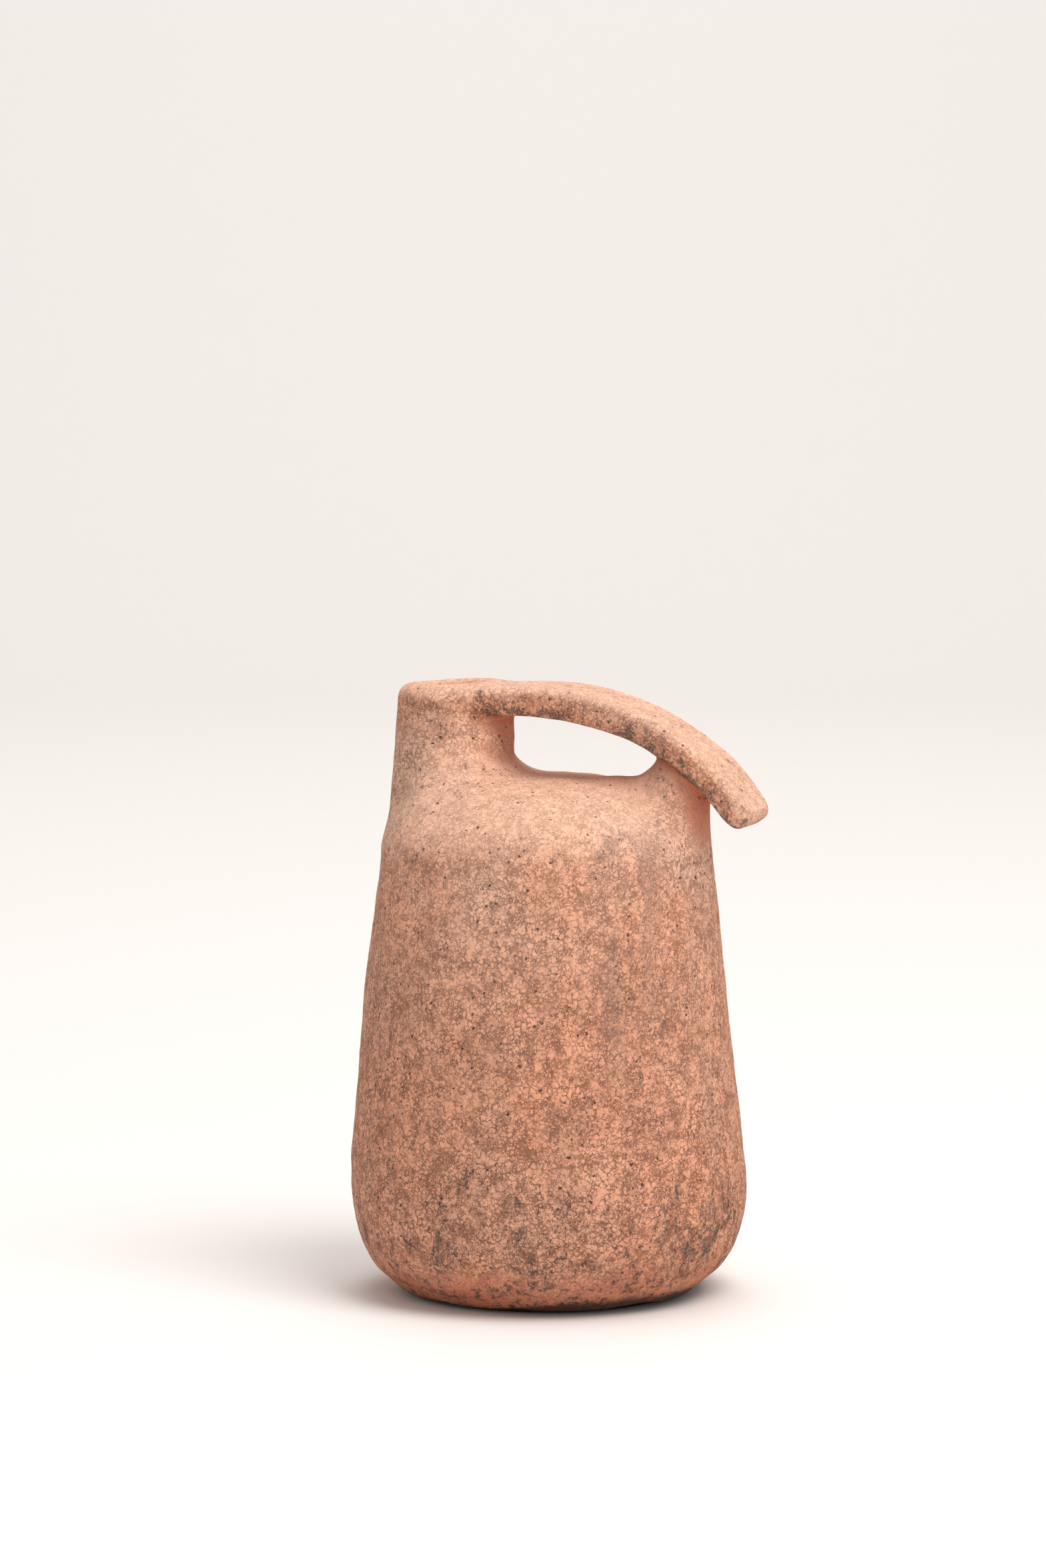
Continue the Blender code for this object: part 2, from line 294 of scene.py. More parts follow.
def strap_place(x, z):
    """What measure_strap gives, read off a chart that is made once."""
    across = np.clip((x - CHART_LOW[0]) / CHART_STEP, 0, len(chart_x) - 1.001)
    up = np.clip((z - CHART_LOW[1]) / CHART_STEP, 0, len(chart_z) - 1.001)
    column, row = across.astype(int), up.astype(int)
    right, above = across - column, up - row
    near = strap_chart[:, column, row] * (1 - right) + strap_chart[:, column + 1, row] * right
    far = strap_chart[:, column, row + 1] * (1 - right) + strap_chart[:, column + 1, row + 1] * right
    return near * (1 - above) + far * above


def strap(x, y, z):
    """Distance from the flat strap with its rounded edges and rounded tail; only far, well below it."""
    if np.max(z) < strap_low.z - 0.008:
        return np.full(np.broadcast(x, y, z).shape, 0.05)
    along, off, half = strap_place(x, z)
    beyond = along - strap_along[-1] - TAIL_REACH
    outline = trim(np.abs(y) - STRAP_HALF, beyond, STRAP_CORNER)
    return rounded_corner(outline + STRAP_EDGE, off - half + STRAP_EDGE) - STRAP_EDGE


def web(x, y, z):
    """Distance from the upright web of clay between the neck and the strap."""
    half = (web_high.y - web_low.y) / 2
    across = np.abs(y) - half + WEB_EDGE
    along = x - web_high.x + WEB_INSET + WEB_EDGE
    slab = rounded_corner(across, along) - WEB_EDGE
    slab = np.maximum(slab, NECK_X - x)
    return np.maximum(slab, np.maximum(z - WEB_TOP, SHOULDER - z))


def block(x, y, z, low, high, edge):
    """Distance from a block that is centred on y = 0, with its edges rounded."""
    along = np.abs(x - (low[0] + high[0]) / 2) - (high[0] - low[0]) / 2 + edge
    across = np.abs(y) - high[1] + edge
    up = np.abs(z - (low[2] + high[2]) / 2) - (high[2] - low[2]) / 2 + edge
    side = rounded_corner(along, across)
    return rounded_corner(side, up) - edge


def post(x, y, z):
    """Distance from the clay that carries the strap: an upright bar and a saddle on its inner side."""
    leaning = x - (z - SHOULDER) * POST_LEAN
    upright = block(leaning, y, z, POST_LOW, POST_HIGH, POST_EDGE)
    saddle = block(x, y, z, SADDLE_LOW, SADDLE_HIGH, SADDLE_EDGE)
    return upright, saddle


def vessel(x, y, z):
    """Distance from the pot without its handle; side is 1 towards the strap and -1 away from it."""
    side = (x - NECK_X) / np.maximum(np.hypot(x - NECK_X, y), 0.01)
    fillet = FILLET_OUTER_SIDE + (FILLET_INNER_SIDE - FILLET_OUTER_SIDE) * (side + 1) / 2
    front = np.clip((side + 0.60) / 0.5, 0.0, 1.0) * np.clip((0.95 - side) / 0.4, 0.0, 1.0)
    fillet = fillet + FILLET_FRONT_EXTRA * front
    fillet = fillet * np.clip((z - NECK_FOOT) / (SHOULDER - NECK_FOOT), 0.15, 1.0)
    return join(join(body(x, y, z), neck(x, y, z), fillet), lip(x, y, z), LIP_BLEND)


def hollow(x, y, z):
    """Distance from the empty inside, with the bore up through the mouth."""
    cavity = np.maximum(body(x, y, z) + WALL_THICKNESS, FLOOR_THICKNESS - z)
    bore = np.maximum(np.hypot(x - MOUTH_X, y) - BORE_RADIUS, BORE_FOOT - z)
    return join(cavity, bore, BORE_BLEND)


def smooth_clay(x, y, z):
    """Distance from the whole pot's clay, before its lumps.

    The fillets narrow where two faces run close together, because they would bulge there: the
    web's above the dome, and the post's towards its outer face. The strap's widens at the hole's end.
    """
    pot = vessel(x, y, z)
    pot = join(pot, web(x, y, z), WEB_BLEND * np.clip((z - WEB_BLEND_FOOT) / 0.02, 0.3, 1.0))
    upright, saddle = post(x, y, z)
    inward = np.clip((post_high.x - x) / 0.018, 0.12, 1.0)
    pot = join(pot, saddle, SADDLE_BLEND)
    pot = join(pot, upright, POST_BLEND * inward)
    hole_end = np.clip((0.078 - x) / 0.014, 0.0, 1.0) * np.clip((x - 0.035) / 0.02, 0.0, 1.0)
    pot = join(pot, strap(x, y, z), STRAP_BLEND + HOLE_END_BLEND * hole_end)
    return trim(pot, -hollow(x, y, z), MOUTH_ROUNDING)


class Lattice:
    """Smooth random numbers in space, the same on every run."""

    def __init__(self, seed):
        self.table = np.random.default_rng(seed).uniform(-1.0, 1.0, (32, 32, 32))

    def at(self, x, y, z, size):
        place = np.stack([x, y, z], axis=-1) / size + 16.37
        corner = np.floor(place).astype(int)
        share = place - corner
        share = share * share * (3 - 2 * share)
        total = np.zeros(place.shape[:-1])
        for step in np.ndindex(2, 2, 2):
            spot = (corner + step) % 32
            weight = np.prod(np.where(step, share, 1 - share), axis=-1)
            total += weight * self.table[spot[..., 0], spot[..., 1], spot[..., 2]]
        return total


lattices = [Lattice(seed) for seed in (11, 12, 13, 14)]


def lumps(x, y, z):
    """How far the surface stands out at each point from the even shape."""
    total = np.zeros(np.shape(x))
    for lattice, (size, height) in zip(lattices, LUMPS):
        total += lattice.at(x, y, z, size) * height
    return total


def underside(x, y, z):
    """Distance from the flat base, whose worn outer edge stands a little clear of the floor."""
    edge = np.clip((np.hypot(x, y) - FOOT_RADIUS) / 0.005, 0.0, 1.0)
    wear = FOOT_WEAR * (1 + 0.6 * lattices[1].at(x, y, z * 0.0, 0.017))
    return edge * edge * (3 - 2 * edge) * wear - z


def even_clay(x, y, z):
    """Distance from the surface before its lumps."""
    return trim(smooth_clay(x, y, z), underside(x, y, z), BASE_ROUNDING)


def clay(x, y, z):
    """Distance from the finished surface."""
    return trim(smooth_clay(x, y, z) - lumps(x, y, z), underside(x, y, z), BASE_ROUNDING)


def slope_of(field, spots, step):
    """Gradient of a distance function at the points."""
    slopes = np.empty_like(spots)
    for axis in range(3):
        ahead, behind = spots.copy(), spots.copy()
        ahead[:, axis] += step
        behind[:, axis] -= step
        slopes[:, axis] = (field(*ahead.T) - field(*behind.T)) / (2 * step)
    return slopes


def settle(spots, level=None, rounds=2):
    """Move points onto the surface, keeping those on a level cut at their height."""
    spots = spots.copy()
    for _ in range(rounds):
        slopes = slope_of(even_clay, spots, 0.0003)
        if level is not None:
            slopes[level, 2] = 0.0
        size = np.maximum((slopes ** 2).sum(axis=1), 0.05)
        move = -clay(*spots.T)[:, None] * slopes / size[:, None]
        length = np.linalg.norm(move, axis=1, keepdims=True)
        spots += move * np.minimum(1.0, 0.003 / np.maximum(length, 1e-9))
    return spots


# ---------------------------------------------------------------- the upper pieces, on a grid

GRID_STEP = 0.00105
AIR, WALL, DOME, NECK, LIP, STRAP, WEB, POST = range(8)
UPPER_PIECES = {
    DOME: "shoulder_dome",
    NECK: "neck",
    LIP: "mouth_lip",
    STRAP: "strap_handle",
    WEB: "neck_gusset",
    POST: "shoulder_gusset",
}
JOINT_DEPTH = 0.0015
STRAP_JOINT_DEPTH = 0.001
HOLE_MIDDLE = 0.02


def name_clay(x, y, z, distance):
    """Which piece each grid point belongs to."""
    pot = vessel(x, y, z)
    strip = strap(x, y, z)
    piece = np.full(distance.shape, DOME)
    piece[np.broadcast_to(z > COLLAR, piece.shape)] = NECK
    piece[np.broadcast_to(z > LIP_FOOT, piece.shape)] = LIP
    handle = (pot > JOINT_DEPTH) & (x > NECK_X + LIP_RADIUS * 0.5)
    piece[handle & (x < HOLE_MIDDLE)] = WEB
    piece[handle & (x >= HOLE_MIDDLE)] = POST
    piece[handle & (strip < STRAP_JOINT_DEPTH)] = STRAP
    piece[np.broadcast_to(z < SHOULDER, piece.shape)] = WALL
    piece[distance > 0] = AIR
    return piece


def grid_pieces():
    """Closed meshes of the upper pieces, which share their points where they touch.

    Every grid edge between two different pieces, or between clay and air, gives a face. Its four
    corners are one point in each of the four cells around the edge, the mean of the crossings on
    that cell's edges. The outer points are then moved onto the finished surface.
    """
    low = np.array([cad_low.x - 0.004, cad_low.y - 0.004, SHOULDER - 2.5 * GRID_STEP])
    high = np.array([cad_high.x + 0.004, cad_high.y + 0.004, cad_high.z + 0.004])
    count = np.ceil((high - low) / GRID_STEP).astype(int) + 1
    axes = [low[axis] + GRID_STEP * np.arange(count[axis]) for axis in range(3)]
    x, y, z = axes[0][:, None, None], axes[1][None, :, None], axes[2][None, None, :]
    distance = smooth_clay(x, y, z)
    piece = name_clay(x, y, z, distance)

    cells = count - 1
    total = int(np.prod(cells))
    sums = {True: np.zeros((total, 4)), False: np.zeros((total, 4))}
    cuts = np.zeros(total, dtype=bool)
    faces = {label: [] for label in UPPER_PIECES}
    for axis in range(3):
        here = [slice(None)] * 3
        there = [slice(None)] * 3
        here[axis] = slice(None, -1)
        there[axis] = slice(1, None)
        first, second = piece[tuple(here)], piece[tuple(there)]
        spot = np.array(np.nonzero(first != second))
        inner = np.all(
            [(spot[other] > 0) & (spot[other] < cells[other]) for other in range(3) if other != axis],
            axis=0,
        )
        spot = spot[:, inner]
        first, second = first[tuple(spot)], second[tuple(spot)]
        after = spot.copy()
        after[axis] += 1
        near, far = distance[tuple(spot)], distance[tuple(after)]
        outer = (first == AIR) | (second == AIR)
        share = np.where(outer, near / np.where(outer, near - far, 1.0), 0.5)
        crossing = np.stack([axes[other][spot[other]] for other in range(3)], axis=1)
        crossing[:, axis] += share * GRID_STEP
        ring = []
        one, two = (axis + 1) % 3, (axis + 2) % 3
        for back_one, back_two in ((1, 1), (0, 1), (0, 0), (1, 0)):
            cell = spot.copy()
            cell[one] -= back_one
            cell[two] -= back_two
            ring.append(np.ravel_multi_index(tuple(cell), tuple(cells)))
        ring = np.stack(ring, axis=1)
        level_cut = ((first == WALL) | (second == WALL)) & ~outer
        for corner in range(4):
            cuts[ring[level_cut, corner]] = True
            for kind in (True, False):
                chosen = outer == kind
                index = ring[chosen, corner]
                for column in range(3):
                    weight = crossing[chosen, column]
                    sums[kind][:, column] += np.bincount(index, weight, total)
                sums[kind][:, 3] += np.bincount(index, minlength=total)
        for label in UPPER_PIECES:
            faces[label].append(ring[first == label])
            faces[label].append(ring[second == label][:, ::-1])

    used = np.nonzero((sums[True][:, 3] > 0) | (sums[False][:, 3] > 0))[0]
    outer = sums[True][used, 3] > 0
    chosen = np.where(outer[:, None], sums[True][used], sums[False][used])
    spots = chosen[:, :3] / chosen[:, 3:]
    level = cuts[used]
    spots[level, 2] = SHOULDER
    spots[outer] = settle(spots[outer], level[outer])
    order = np.zeros(total, dtype=int)
    order[used] = np.arange(len(used))
    meshes = {}
    for label, name in UPPER_PIECES.items():
        quads = order[np.concatenate(faces[label])]
        kept, quads = np.unique(quads, return_inverse=True)
        meshes[name] = (spots[kept], quads.reshape(-1, 4))
    return meshes


# ---------------------------------------------------------------- the turned wall and the base

COLUMNS = 400
WALL_ROW = 0.0015
SLAB_ROW = 0.0012
INNER_ROW = 0.0035


def spaced(points, step):
    """Points along a line of (radius, height), about the given step apart."""
    points = np.array(points)
    along = np.concatenate([[0.0], np.cumsum(np.hypot(*np.diff(points, axis=0).T))])
    count = max(int(round(along[-1] / step)), 1)
    even = np.linspace(0.0, along[-1], count + 1)
    return np.stack([np.interp(even, along, points[:, column]) for column in range(2)], axis=1)


def turn(profile):
    """Rings of points about the pot's axis, one for each (radius, height)."""
    angles = 2 * math.pi * np.arange(COLUMNS) / COLUMNS
    rings = np.empty((len(profile), COLUMNS, 3))
    rings[..., 0] = profile[:, :1] * np.cos(angles)
    rings[..., 1] = profile[:, :1] * np.sin(angles)
    rings[..., 2] = profile[:, 1:]
    return rings


def settle_rings(profile, level_rows):
    """Rings moved onto the surface, the given rows staying level."""
    rings = turn(profile)
    level = np.zeros(rings.shape[:2], dtype=bool)
    level[level_rows] = True
    return settle(rings.reshape(-1, 3), level.ravel()).reshape(rings.shape)


def stitch(rings):
    """A closed mesh from rings that come back to where they began."""
    count = len(rings)
    index = np.arange(count * COLUMNS).reshape(count, COLUMNS)
    following = np.roll(index, -1, axis=0)
    beside = np.roll(index, -1, axis=1)
    across = np.roll(following, -1, axis=1)
    quads = np.stack([index, beside, across, following], axis=-1).reshape(-1, 4)
    return rings.reshape(-1, 3), quads


def turned_pieces():
    """Closed meshes of the tall wall and of the slab that it stands on."""
    outer_low = wall_curve[wall_curve[:, 0] < SLAB_TOP]
    outer_high = wall_curve[wall_curve[:, 0] > SLAB_TOP]
    joint = [SLAB_TOP, np.interp(SLAB_TOP, wall_curve[:, 0], wall_curve[:, 1])]
    wall_side = spaced(np.vstack([joint, outer_high])[:, ::-1], WALL_ROW)
    slab_side = spaced(np.vstack([outer_low, joint])[:, ::-1], SLAB_ROW)
    inside = wall_curve[wall_curve[:, 0] > 0.022][:, ::-1] - [WALL_THICKNESS, 0.0]
    corner = [[joint[1] - 0.014, FLOOR_THICKNESS + 0.00015], [joint[1] - 0.006, 0.0125]]
    inner_side = spaced(np.vstack([corner, inside]), INNER_ROW)

    outer = settle_rings(wall_side, [0, -1])
    inner = settle_rings(inner_side, [0, -1])
    wall = stitch(np.concatenate([outer, inner[::-1]]))

    rim = settle_rings(slab_side[1:], [-1])
    rim[-1] = outer[0]
    under = turn(np.array([[0.002 + 0.008 * step, 0.0] for step in range(9)]))
    floor = turn(np.array([[0.002 + 0.008 * step, FLOOR_THICKNESS] for step in range(8)]))
    spots, quads = stitch(np.concatenate([under, rim, inner[:1], floor[::-1]]))
    return {"body_wall": wall, "base_slab": (spots, quads)}


# ---------------------------------------------------------------- facts about the surface

def unit(vectors):
    return vectors / np.maximum(np.linalg.norm(vectors, axis=1, keepdims=True), 1e-9)


def sheltered_by(spots, normals):
    """How closed in each point is by the clay around it, from 0 to 1."""
    total = np.zeros(len(spots))
    tilted = unit(normals + [0.0, 0.0, 0.7])
    for direction, share in ((normals, 0.6), (tilted, 0.4)):
        for reach, weight in ((0.004, 0.2), (0.009, 0.3), (0.018, 0.3), (0.030, 0.2)):
            ahead = spots + direction * reach
            blocked = np.clip(1 - smooth_clay(*ahead.T) / reach, 0.0, 1.5)
            total += share * weight * blocked
    return total


def sharpness_of(spots, normals):
    """How far each point stands on an outward edge, 1 on a 5 mm rounding."""
    reach = 0.0022
    helper = np.where(np.abs(normals[:, 2:]) < 0.8, [0.0, 0.0, 1.0], [1.0, 0.0, 0.0])
    across = unit(np.cross(normals, helper))
    total = np.zeros(len(spots))
    for tangent in (across, np.cross(normals, across)):
        ahead = unit(slope_of(smooth_clay, spots + tangent * reach, 0.0005))
        behind = unit(slope_of(smooth_clay, spots - tangent * reach, 0.0005))
        total += ((ahead - behind) * tangent).sum(axis=1) / (2 * reach)
    return np.clip(total * 0.005, -2.0, 2.0)


def strap_shade_of(spots):
    """How much painted shade falls under the strap: along its lower edge and on the end of the web."""
    x, y, z = spots.T
    off, half = strap_place(x, z)[1:]
    below = np.where(z < np.interp(x, strap_x, strap_z), off / half, -off / half)
    on_strap = np.clip(1 - np.abs(strap(x, y, z)) / 0.003, 0.0, 1.0)
    lower_edge = np.clip((below + 0.45) / 1.1, 0.0, 1.0)
    past_lip = np.clip((x + 0.045) / 0.02, 0.0, 1.0)
    off_middle = np.clip((np.abs(y) - 0.008) / 0.010, 0.0, 1.0)
    on_web = np.clip(1 - np.abs(web(x, y, z)) / 0.004, 0.0, 1.0)
    web_end = np.clip((x - web_high.x + 0.007) / 0.005, 0.0, 1.0)
    web_upper = np.clip((z - 0.268) / 0.012, 0.0, 1.0)
    return np.maximum(on_strap * lower_edge * past_lip * off_middle, on_web * web_end * web_upper)


def inside_of(spots):
    """1 on the bare clay inside the pot and its bore, fading out over the mouth's rounding."""
    return np.clip(0.9 - hollow(*spots.T) / 0.005, 0.0, 1.0)


def add_piece(name, spots, quads, material):
    """A piece that stands for its CAD node, with shading that runs on over its joints."""
    mesh = bpy.data.meshes.new("clay_" + name)
    mesh.from_pydata(spots.tolist(), [], quads.tolist())
    mesh.update()
    normals = unit(slope_of(clay, spots, 0.0004))
    facts = {
        "sheltered": sheltered_by(spots, normals),
        "sharpness": sharpness_of(spots, normals),
        "inside": inside_of(spots),
        "upward": normals[:, 2],
        "strap_shade": strap_shade_of(spots),
    }
    for fact, values in facts.items():
        layer = mesh.attributes.new(fact, "FLOAT", "POINT")
        layer.data.foreach_set("value", values.astype(np.float32))
    mesh.shade_smooth()
    mesh.normals_split_custom_set_from_vertices(normals.tolist())
    mesh.materials.append(material)
    piece = bpy.data.objects.new("clay_" + name, mesh)
    bpy.context.scene.collection.objects.link(piece)
    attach(piece, "root")
    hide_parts(name)


# ---------------------------------------------------------------- the look of the clay

PEACH = (0.790, 0.368, 0.228)
PALE = (0.860, 0.530, 0.385)
ORANGE = (0.640, 0.225, 0.110)
# Painted shade for the clay's corners.
CORNER_SHADE_ORANGE = (0.500, 0.130, 0.060)
TAUPE = (0.430, 0.262, 0.190)
GREY = (0.150, 0.115, 0.105)
LINE_BROWN = (0.115, 0.052, 0.032)
# Black for soot specks and blotches, and for painted shadow at the foot and painted shade under the
# strap.
SOOT_AND_SHADOW_BLACK = (0.040, 0.026, 0.022)


class Look:
    """A node material built up step by step; places are metres in the pot's own frame."""

    def __init__(self, name):
        self.material = bpy.data.materials.new(name)
        self.material.use_nodes = True
        self.nodes = self.material.node_tree.nodes
        self.shader = self.nodes["Principled BSDF"]
        self.place = self.nodes.new("ShaderNodeTexCoord").outputs["Object"]

    def node(self, kind, inputs, **settings):
        node = self.nodes.new(kind)
        for key, value in settings.items():
            setattr(node, key, value)
        for key, value in inputs.items():
            self.give(node.inputs[key], value)
        return node

    def give(self, socket, value):
        """Link a socket to another node's output, or set it to a constant."""
        if isinstance(value, bpy.types.NodeSocket):
            self.material.node_tree.links.new(value, socket)
        elif socket.type == "RGBA" and len(value) == 3:
            socket.default_value = (*value, 1.0)
        else:
            socket.default_value = value

    def math(self, operation, first, second=0.0):
        return self.node("ShaderNodeMath", {0: first, 1: second}, operation=operation).outputs[0]

    def times(self, first, second):
        return self.math("MULTIPLY", first, second)

    def plus(self, first, second):
        return self.math("ADD", first, second)

    def most(self, first, second):
        return self.math("MAXIMUM", first, second)

    def ramp(self, value, low, high):
        """0 below low and 1 above high; low may be the larger of the two."""
        inputs = {"Value": value, "From Min": low, "From Max": high}
        return self.node("ShaderNodeMapRange", inputs, interpolation_type="SMOOTHSTEP").outputs[0]

    def paint(self, under, over, share):
        """One colour laid over another, covering the given share of it."""
        node = self.nodes.new("ShaderNodeMix")
        node.data_type = "RGBA"
        self.give(node.inputs[0], share)
        self.give(node.inputs[6], under)
        self.give(node.inputs[7], over)
        return node.outputs[2]

    def stretched(self, shares, shift=(0.0, 0.0, 0.0)):
        """The place scaled by a share along each axis, then shifted."""
        inputs = {0: self.place, 1: shares, 2: shift}
        return self.node("ShaderNodeVectorMath", inputs, operation="MULTIPLY_ADD").outputs[0]

    def noise(self, size, detail=2.0, rough=0.5, distortion=0.0, place=None, shift=None):
        """Soft noise about 0.5 with features of the given size."""
        if shift is not None:
            place = self.stretched((1.0, 1.0, 1.0), shift)
        inputs = {
            "Vector": place or self.place,
            "Scale": 1.0 / size,
            "Detail": detail,
            "Roughness": rough,
            "Distortion": distortion,
        }
        return self.node("ShaderNodeTexNoise", inputs).outputs[0]

    def wandering(self, size, reach, shift=(0.0, 0.0, 0.0)):
        """The place moved about by noise of the given size, by about the given reach."""
        inputs = {"Vector": self.stretched((1.0, 1.0, 1.0), shift), "Scale": 1.0 / size, "Detail": 2.0}
        colour = self.node("ShaderNodeTexNoise", inputs).outputs["Color"]
        inputs = {0: colour, 1: (-0.5, -0.5, -0.5)}
        centred = self.node("ShaderNodeVectorMath", inputs, operation="ADD").outputs[0]
        inputs = {0: centred, 1: (reach, reach, reach), 2: self.place}
        return self.node("ShaderNodeVectorMath", inputs, operation="MULTIPLY_ADD").outputs[0]

    def cells(self, size, place):
        """Distance from the middle of each cell, and a random colour for each cell."""
        inputs = {"Vector": place, "Scale": 1.0 / size}
        node = self.node("ShaderNodeTexVoronoi", inputs, feature="F1")
        return node.outputs["Distance"], node.outputs["Color"]

    def cracks(self, size, place, width):
        """Thin lines between cells of the given size, 1 on the line."""
        inputs = {"Vector": place, "Scale": 1.0 / size}
        node = self.node("ShaderNodeTexVoronoi", inputs, feature="DISTANCE_TO_EDGE")
        return self.ramp(node.outputs["Distance"], width / size, width / size * 0.25)

    def attribute(self, name):
        return self.node("ShaderNodeAttribute", {}, attribute_name=name).outputs["Fac"]


def clay_material():
    """Fired clay with a worn slip: fine worm-like lines, cracks, specks, haze and soot; painted shade,
    shadow and top light.
    """
    look = Look("fired_clay_look")
    split = look.node("ShaderNodeSeparateXYZ", {"Vector": look.place})
    along, height = split.outputs["X"], split.outputs["Z"]
    sheltered = look.attribute("sheltered")
    sharpness = look.attribute("sharpness")
    inside = look.attribute("inside")
    upward = look.attribute("upward")
    strap_shade = look.attribute("strap_shade")

    # Noises that several layers share, from the broadest to the grain.
    broad = look.noise(0.070, 3.0, 0.55, shift=(0.3, 0.1, 0.2))
    patches = look.noise(0.022, 5.0, 0.65, shift=(0.7, 0.2, 0.5))
    small = look.noise(0.0075, 3.0, 0.6, shift=(0.2, 0.8, 0.1))
    spread = look.noise(0.012, 3.0, 0.6, shift=(0.5, 0.5, 0.9))
    grain = look.noise(0.0012, 3.0, 0.65)
    streaks = look.noise(0.016, 4.0, 0.6, place=look.stretched((1.0, 1.0, 0.16), (0.4, 0.4, 0.1)))

    # Where on the pot: low down, on its left, near its top, facing up (painted top light, some rubbing)
    # or sheltered.
    low = look.ramp(height, 0.12, 0.01)
    left = look.ramp(along, 0.02, -0.10)
    top = look.ramp(height, 0.17, 0.24)
    # Faces that look up, high on the pot, are painted pale: painted top light, with some rubbing on the
    # strap's top.
    top_light_and_rub = look.times(look.ramp(upward, -0.30, 0.80), look.ramp(height, 0.10, 0.26))
    wear_and_top_light = look.most(look.times(look.ramp(sharpness, 0.35, 1.1), 0.8), top_light_and_rub)
    wear_and_top_light = look.times(wear_and_top_light, look.plus(1.0, look.times(inside, -1.0)))
    corner_shade = look.ramp(sheltered, 0.23, 0.50)

    # The clay itself: peach with ruddy patches, paler above, with a haze of taupe; taupe painted shade
    # on its left side, and taupe low down.
    colour = look.paint(PEACH, ORANGE, look.times(look.ramp(patches, 0.48, 0.70), 0.40))
    ruddy = look.plus(0.32, look.times(low, 0.45))
    colour = look.paint(colour, ORANGE, look.times(look.ramp(small, 0.50, 0.70), ruddy))
    pale = look.times(look.ramp(broad, 0.40, 0.62), look.plus(look.times(top, 0.6), 0.20))
    colour = look.paint(colour, PALE, pale)
    haze = look.plus(look.times(patches, 0.4), look.times(streaks, 0.4))
    haze = look.ramp(look.plus(haze, look.times(grain, 0.2)), 0.45, 0.60)
    colour = look.paint(colour, TAUPE, look.times(haze, look.plus(0.30, look.times(top_light_and_rub, -0.20))))
    shade = look.times(look.most(low, left), look.ramp(broad, 0.35, 0.65))
    colour = look.paint(colour, TAUPE, look.times(shade, 0.22))

    # Painted shade: deep orange in corners, orange under the handle, black in crevices; pale wear,
    # painted top light.
    colour = look.paint(colour, CORNER_SHADE_ORANGE, look.times(corner_shade, 0.75))
    # Painted shade under the strap, in orange, and black where it is also sheltered.
    colour = look.paint(colour, ORANGE, look.times(strap_shade, 0.70))
    colour = look.paint(colour, SOOT_AND_SHADOW_BLACK, look.times(look.times(strap_shade, corner_shade), 0.60))
    colour = look.paint(colour, PALE, look.times(wear_and_top_light, 0.75))

    speckled = look.ramp(look.noise(0.0017, 3.0, 0.6, shift=(0.4, 0.7, 0.2)), 0.50, 0.66)
    colour = look.paint(colour, TAUPE, look.times(speckled, look.plus(0.42, look.times(wear_and_top_light, -0.30))))

    # Dark lines: two nets of worm-like ones, long cracks and patches of coarse crackle.
    dense = look.ramp(look.plus(spread, look.times(low, 0.12)), 0.36, 0.60)
    broken = look.ramp(look.noise(0.0034, 2.0, 0.6, shift=(0.8, 0.8, 0.3)), 0.36, 0.50)
    fine = look.cracks(0.0030, look.wandering(0.0019, 0.0036), 0.00040)
    finer = look.cracks(0.0021, look.wandering(0.0014, 0.0030, (0.3, 0.2, 0.7)), 0.00036)
    worm_lines = look.times(look.times(fine, broken), look.plus(look.times(dense, 0.22), 0.58))
    finer = look.times(finer, look.times(look.ramp(small, 0.40, 0.6), 0.75))
    worm_lines = look.most(worm_lines, finer)
    cracks = look.cracks(0.012, look.wandering(0.006, 0.010), 0.00045)
    cracked = look.ramp(look.noise(0.019, 2.0, 0.6, shift=(0.9, 0.1, 0.4)), 0.42, 0.56)
    cracks = look.times(cracks, cracked)
    crackle = look.cracks(0.0046, look.wandering(0.003, 0.006, (0.1, 0.6, 0.3)), 0.00042)
    crackled = look.ramp(look.noise(0.030, 3.0, 0.6, shift=(0.1, 0.9, 0.7)), 0.44, 0.60)
    crackle = look.times(crackle, crackled)
    lines = look.most(worm_lines, look.most(look.times(cracks, 0.70), look.times(crackle, 0.30)))
    lines = look.times(lines, look.plus(1.0, look.times(look.most(corner_shade, inside), -0.80)))
    lines = look.times(lines, look.plus(1.0, look.times(wear_and_top_light, -0.45)))
    colour = look.paint(colour, LINE_BROWN, lines)

    # Specks: a dark dot in some of the cells.
    distance, cell_colour = look.cells(0.0052, look.wandering(0.003, 0.0026))
    chance = look.node("ShaderNodeSeparateColor", {"Color": cell_colour}).outputs[0]
    specks = look.times(look.ramp(distance, 0.19, 0.10), look.ramp(chance, 0.60, 0.66))
    colour = look.paint(colour, SOOT_AND_SHADOW_BLACK, look.times(specks, 0.85))

    # Blotches of soot, mostly near the base and under the strap, where they deepen its painted shade,
    # and a run below the post.
    blots = look.noise(0.0050, 6.0, 0.80, 0.6, place=look.stretched((1.0, 1.0, 0.6), (0.6, 0.3, 0.8)))
    blot_limit = look.plus(blots, look.times(look.ramp(height, 0.100, 0.01), 0.085))
    blot_limit = look.plus(blot_limit, look.times(look.plus(patches, -0.5), 0.40))
    blot_limit = look.plus(blot_limit, look.times(strap_shade, 0.16))
    blotches = look.ramp(blot_limit, 0.61, 0.66)

